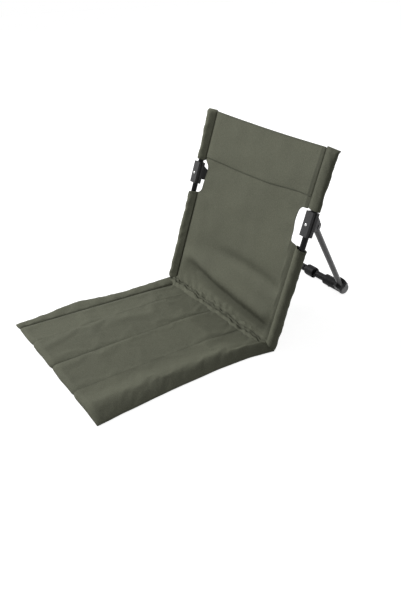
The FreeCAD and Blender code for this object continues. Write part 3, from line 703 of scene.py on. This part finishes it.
class CHAIR_OT_back_sling(bpy.types.Operator):
    """Sling sheet with rounded cut-outs and a second layer across the headrest"""
    bl_idname = "ground_chair.back_sling"
    bl_label = "Back sling"

    def execute(self, context):
        sizes = context.scene.ground_chair_sizes
        cloth = cloth_material(tuple(context.scene.ground_chair_colours.cloth))
        self.sling(sizes, cloth)
        self.headrest(sizes, cloth)
        return {"FINISHED"}

    def sling(self, sizes, cloth):
        rows = np.concatenate([
            np.linspace(9.5, 120, 34), np.linspace(124, NOTCH_LOW - 0.3, 24),
            np.linspace(NOTCH_LOW + 0.3, NOTCH_LOW + 14, 9), np.linspace(250, 299, 12),
            np.linspace(NOTCH_HIGH_RIGHT - 10, NOTCH_HIGH_RIGHT - 0.2, 9),
            [NOTCH_HIGH_RIGHT + 0.2, NOTCH_HIGH_RIGHT + 3],
            np.linspace(NOTCH_HIGH - 0.3, BACK_TOP - 1, 27)])
        sling, across, along = cloth_grid("back_sling", 72, len(rows) - 1)
        s = rows[np.rint(along * (len(rows) - 1)).astype(int)]
        half = sling_half(s, across - 0.5)
        x = (across * 2 - 1) * half
        bound = line(half - np.abs(x), 2.2) * np.where(half < SEAM_X + 1, 1.0, 0.0)
        s = np.where(s > HEADREST_LOW, HEADREST_LOW + (s - HEADREST_LOW)
                     * (top_edge(x) - HEADREST_LOW) / (BACK_TOP - 1 - HEADREST_LOW), s)
        depth = sling_depth(x, s, sizes) - 0.5 * bound
        set_points(sling, on_back(x, depth, s, sizes.back_lean))
        set_flat_uv(sling, x, s)
        # Painted shade: darker under the low fold, along the shallow second fold, and across the low sling near
        # the crease
        shade = 0.46 * line(s - fold_line(x) + 9, 15) * smooth_step(-165, -60, x)
        shade += 0.16 * line(s - valley_line(x) - 9, 11) * smooth_step(-110, 10, x)
        shade += 0.3 * np.exp(-np.abs(s - 10) / 30) * smooth_step(-60, 120, x)
        set_seams_and_shade(sling, np.maximum(np.maximum(0.75 * bound, shade), self.hem_lines_and_shade(x, s)))
        finish_cloth(sling, sizes.cloth_thickness, cloth)
        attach(sling, "sling")
        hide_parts("back_panel")
        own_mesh(sling)

    def hem_lines_and_shade(self, x, s):
        """Dark sewn lines along the sleeves, and painted shade on the near one's hem strip."""
        near = x - sleeve_seam(s)
        marks = np.maximum(0.9 * line(np.abs(x) - SEAM_X, 2.0), 0.75 * line(near, 1.8))
        # Painted shade on the near hem strip beyond its sewn line
        return np.maximum(marks, 0.4 * smooth_step(-1.0, 3.0, near))

    def headrest(self, sizes, cloth):
        layer, across, along = cloth_grid("headrest_cloth", 72, 30)
        x = (across * 2 - 1) * (SEAM_X + 1.5)
        lift = along ** 0.9
        low = HEADREST_LOW + 12.0 * smooth_step(30, 165, x) + 1.0 * np.sin(x / 37.0)
        s = low + lift * (top_edge(x) + 0.6 - low)
        up = np.clip((s - low) / (BACK_TOP - low), 0, 1)
        puff = 1.8 * np.sin(math.pi * up ** 0.75) ** 0.8
        puff *= 0.45 + 0.55 * np.sqrt(np.clip(1 - (x / SEAM_X) ** 2, 0, 1))
        puff += 0.6 * ripple(x * 0.7, s, 11, 70.0) * np.clip((s - low) / 20, 0, 1)
        depth = sling_depth(x, s, sizes) - 1.15 - puff * smooth_step(SEAM_X + 1, SEAM_X - 20, np.abs(x))
        set_points(layer, on_back(x, depth, s, sizes.back_lean))
        set_flat_uv(layer, x, s)
        hems = np.maximum(0.5 * line(s - low, 2.0), 0.5 * line(s - top_edge(x), 2.5))
        set_seams_and_shade(layer, np.maximum(hems, self.hem_lines_and_shade(x, s)))
        finish_cloth(layer, sizes.cloth_thickness, cloth)
        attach(layer, "sling")
        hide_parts("headrest_layer")
        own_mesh(layer)


class CHAIR_OT_crease(bpy.types.Operator):
    """Gathered cloth along the crease where the mat meets the sling"""
    bl_idname = "ground_chair.crease"
    bl_label = "Crease"

    def execute(self, context):
        sizes = context.scene.ground_chair_sizes
        roll, across, along = cloth_grid("crease_gather", 220, 24)
        x = (across * 2 - 1) * (SEAM_X + 7)
        knots, behind, height = zip(*CREASE_SECTION)
        wander = 2.4 * ripple(x, 0 * x, 24, 75.0)
        y = wander + np.interp(along, knots, behind)
        z = np.interp(along, knots, height)
        fade = np.clip(np.sin(math.pi * along), 0, 1) ** 0.7
        sharp = 0.5 - np.abs(ripple(x + 1.2 * y, 0.3 * y, 21, 30.0))
        broad = ripple(x - 0.9 * y, 0.3 * y, 22, 36.0)
        z = z + fade * (2.8 * sharp + 1.7 * broad)
        y = y + fade * (1.5 * ripple(x, along * 9, 23, 19.0) + 1.0 * sharp)
        z = np.maximum(z, 1.2)
        lean = sizes.back_lean
        y = np.minimum(y, (FOLDED_ROOM - 0.6 + z * math.sin(lean)) / math.cos(lean))
        set_points(roll, on_floor(x, y, z))
        set_flat_uv(roll, x, along * 38)
        rows = np.maximum(*(dark * line(along - place, width) for place, width, dark in CREASE_STITCHES))
        set_seams_and_shade(roll, rows * (0.75 + 0.35 * ripple(x, 0 * x, 25, 30.0)))
        cloth = cloth_material(tuple(context.scene.ground_chair_colours.cloth))
        finish_cloth(roll, sizes.cloth_thickness, cloth)
        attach(roll, "sling")
        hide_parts("crease_seam")
        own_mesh(roll)
        return {"FINISHED"}


# The sleeves
def sleeve_loop(columns, loose):
    """Teardrop round the upright, from the seam round and back: outward and rearward mm, and its length.

    A loose sleeve lies flatter, with its front pushed outward.
    """
    tangent = math.acos(SLEEVE_RADIUS / -SLEEVE_TIP)
    turns = np.linspace(-(math.pi - tangent), math.pi - tangent, 60)
    arc = np.stack([np.cos(turns), np.sin(turns)], axis=1) * SLEEVE_RADIUS
    path = np.concatenate([[[SLEEVE_TIP, -0.5]], arc, [[SLEEVE_TIP, 0.5]]])
    push = loose * smooth_step(-12, 2, path[:, 0])
    path[:, 0] += push * (0.4 * np.maximum(path[:, 0], 0) - 0.8 * path[:, 1])
    steps = np.concatenate([[0], np.cumsum(np.linalg.norm(np.diff(path, axis=0), axis=1))])
    even = np.linspace(0, steps[-1], columns)
    return np.interp(even, steps, path[:, 0]), np.interp(even, steps, path[:, 1]), steps[-1]


class CHAIR_OT_sleeves(bpy.types.Operator):
    """Cloth sleeves sewn round the uprights, flattened where their ends are closed"""
    bl_idname = "ground_chair.sleeves"
    bl_label = "Sleeves"

    def execute(self, context):
        sizes = context.scene.ground_chair_sizes
        cloth = cloth_material(tuple(context.scene.ground_chair_colours.cloth))
        for part, side, low, high in SLEEVES:
            self.sleeve(sizes, cloth, part, side, low, high)
        return {"FINISHED"}

    def sleeve(self, sizes, cloth, part, side, low, high):
        sign = 1 if side == "right" else -1
        rows = max(24, int((high - low) / 4.0))
        obj, across, along = cloth_grid(f"{part}_sleeve_cloth_{side}", SLEEVE_COLUMNS, rows)
        loose = part == "upper" and side == "right"
        out, rear, loop = sleeve_loop(SLEEVE_COLUMNS + 1, float(loose))
        index = np.rint(across * SLEEVE_COLUMNS).astype(int)
        o, b = out[index], rear[index]
        s = low + along * (high - low)
        half_way = np.abs(across * 2 - 1)
        flat_out = SLEEVE_TIP + (1 - half_way) * loop / 2
        if part == "upper":
            pinch = smooth_step(high - 7, high, s)
            flare = smooth_step(high - 70, high, s) ** 1.5
            o = o + (3.0 if loose else 5.0) * flare * smooth_step(-12, 10, o)
            s = s - 0.05 * (o + 17) * pinch
        else:
            pinch = smooth_step(low + 2.5, low, s) * 0.5
            s = s - smooth_step(low + 120, high, s) * (o + 20) * 0.22
        squeeze = 1.0 - pinch * (0.90 if part == "upper" else 0.6)
        o = o * (1 - pinch * 0.25) + flat_out * pinch * 0.25
        b = b * squeeze
        seed = 31 + (2 if part == "upper" else 0) + (1 if side == "left" else 0)
        away = np.sin(math.pi * np.clip(across, 0, 1)) ** 0.8
        crumple = 1.4 if loose else 1.1
        swell = crumple * away * (1.2 * ripple(across * 60, s * 0.55, seed, 44.0)
                                  + 0.8 * ripple(across * 80 + 0.5 * s, s, seed + 40, 22.0))
        length = np.maximum(np.hypot(o, b), 1e-6)
        swell = swell * (1 - pinch * 0.5)
        o, b = o + o / length * swell, b + b / length * swell
        hem = np.exp(-((s - (low if part == "upper" else high - 5)) / 4.0) ** 2) * away
        o, b = o + o / length * 0.5 * hem, b + b / length * 0.5 * hem
        set_points(obj, on_back(sign * (UPRIGHT_X + o), b, s, sizes.back_lean))
        set_flat_uv(obj, across * loop, s)
        rim = along if part == "upper" else 1 - along
        marks = np.maximum(0.8 * line((1 - half_way) * loop / 2, 1.6),
                           0.6 * line(rim * (high - low) - 5, 1.5))
        # Painted shade on the near sleeves' lit front half, stronger on the loose upper one
        hem_shade = (0.42 if loose else 0.22) * smooth_step(0.58, 0.34, across) * max(sign, 0)
        set_seams_and_shade(obj, np.maximum(marks, hem_shade))
        finish_cloth(obj, sizes.cloth_thickness, cloth)
        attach(obj, f"upright_{side}")
        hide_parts(f"{part}_sleeve_{side}")


# The frame
class CHAIR_OT_frame_finish(bpy.types.Operator):
    """Paint, plastic and steel finishes of the frame's pieces"""
    bl_idname = "ground_chair.frame_finish"
    bl_label = "Frame finishes"

    def execute(self, context):
        colours = context.scene.ground_chair_colours
        for entry in frame["record"]["subparts"]:
            obj = frame["nodes"][entry["node"]]
            finish = entry["material_slot"]
            if obj.hide_render or finish not in FINISHES:
                continue
            for start, other in STAND_FINISHES.items():
                if entry["node"].startswith(start):
                    finish = other
            name, colour, roughness, settings = FINISHES[finish]
            dress(obj, coated_material(name, tuple(getattr(colours, colour)), roughness, **settings))
            activate(obj)
            bpy.ops.object.shade_smooth_by_angle(angle=SHARP_ANGLE)
        return {"FINISHED"}


# The stage
class CHAIR_OT_stage(bpy.types.Operator):
    """Pale floor, plain studio light and the camera"""
    bl_idname = "ground_chair.stage"
    bl_label = "Stage"

    def execute(self, context):
        scene = context.scene
        scene.view_settings.view_transform = "Standard"
        self.floor()
        self.world(scene)
        for name, place, size, power in LAMPS:
            self.lamp(name, place, size, power)
        self.camera(scene)
        return {"FINISHED"}

    def floor(self):
        deselect()
        bpy.ops.mesh.primitive_plane_add(size=FLOOR_SIZE, location=(0, 0, FLOOR_Z))
        floor = bpy.context.object
        floor.name = "studio_floor"
        bpy.ops.object.transform_apply(location=True, rotation=True, scale=True)
        material, tree, shader = new_material("pale_floor")
        shader.inputs["Base Color"].default_value = (0.50, 0.50, 0.50, 1)
        shader.inputs["Roughness"].default_value = 0.9
        shader.inputs["Specular IOR Level"].default_value = 0.1
        shader.inputs["Emission Color"].default_value = (1, 1, 1, 1)
        glow = maths(tree, "MULTIPLY", seen_ray(tree), FLOOR_GLOW)
        tree.links.new(glow, shader.inputs["Emission Strength"])
        dress(floor, material)

    def world(self, scene):
        world = bpy.data.worlds.new("studio_world")
        scene.world = world
        world.use_nodes = True
        tree = world.node_tree
        background = tree.nodes["Background"]
        background.inputs["Color"].default_value = (1, 1, 1, 1)
        strength = add_node(tree, "ShaderNodeMapRange", inputs={"To Min": WORLD_LIGHT, "To Max": 1.0})
        tree.links.new(seen_ray(tree), strength.inputs["Value"])
        tree.links.new(strength.outputs["Result"], background.inputs["Strength"])

    def lamp(self, name, place, size, power):
        deselect()
        bpy.ops.object.light_add(type="AREA", location=place)
        lamp = bpy.context.object
        lamp.name = lamp.data.name = name
        lamp.data.size = size
        lamp.data.energy = power
        aim = Vector(LAMP_AIM) - Vector(place)
        lamp.rotation_euler = aim.to_track_quat("-Z", "Y").to_euler()

    def camera(self, scene):
        deselect()
        bpy.ops.object.camera_add()
        camera = bpy.context.object
        camera.name = "photo_camera"
        azimuth, elevation = math.radians(CAMERA_AZIMUTH), math.radians(CAMERA_ELEVATION)
        back = Vector((math.sin(azimuth) * math.cos(elevation), -math.cos(azimuth) * math.cos(elevation),
                       math.sin(elevation)))
        right = Vector((math.cos(azimuth), math.sin(azimuth), 0))
        up = back.cross(right)
        turn = Matrix((right, up, back)).transposed() @ Matrix.Rotation(math.radians(CAMERA_ROLL), 3, "Z")
        x, y, z = CAMERA_PLACE
        place = Vector((x, y + CREASE_Y * 0.001, z))
        camera.matrix_world = Matrix.Translation(place) @ turn.to_4x4()
        camera.data.lens = CAMERA_LENS
        camera.data.sensor_width = CAMERA_SENSOR
        scene.camera = camera


class CHAIR_PT_panel(bpy.types.Panel):
    """Lists the chair's pieces, sizes and colours"""
    bl_idname = "CHAIR_PT_panel"
    bl_label = "Ground chair"
    bl_space_type = "VIEW_3D"
    bl_region_type = "UI"
    bl_category = "Ground chair"

    def draw(self, context):
        for group in (context.scene.ground_chair_sizes, context.scene.ground_chair_colours):
            for name in group.__annotations__:
                self.layout.prop(group, name)
        for operator in OPERATORS:
            self.layout.operator(operator.bl_idname)


OPERATORS = (CHAIR_OT_sleeves, CHAIR_OT_back_sling, CHAIR_OT_crease, CHAIR_OT_seat_mat,
             CHAIR_OT_frame_finish, CHAIR_OT_stage)
CLASSES = (ChairSizes, ChairColours, *OPERATORS, CHAIR_PT_panel)


def register():
    for cls in CLASSES:
        bpy.utils.register_class(cls)
    bpy.types.Scene.ground_chair_sizes = PointerProperty(type=ChairSizes)
    bpy.types.Scene.ground_chair_colours = PointerProperty(type=ChairColours)


def unregister():
    del bpy.types.Scene.ground_chair_colours
    del bpy.types.Scene.ground_chair_sizes
    for cls in reversed(CLASSES):
        bpy.utils.unregister_class(cls)


def main():
    register()
    bpy.ops.ground_chair.sleeves()
    bpy.ops.ground_chair.back_sling()
    bpy.ops.ground_chair.crease()
    bpy.ops.ground_chair.seat_mat()
    bpy.ops.ground_chair.frame_finish()
    bpy.ops.ground_chair.stage()


if __name__ == "__main__":
    main()
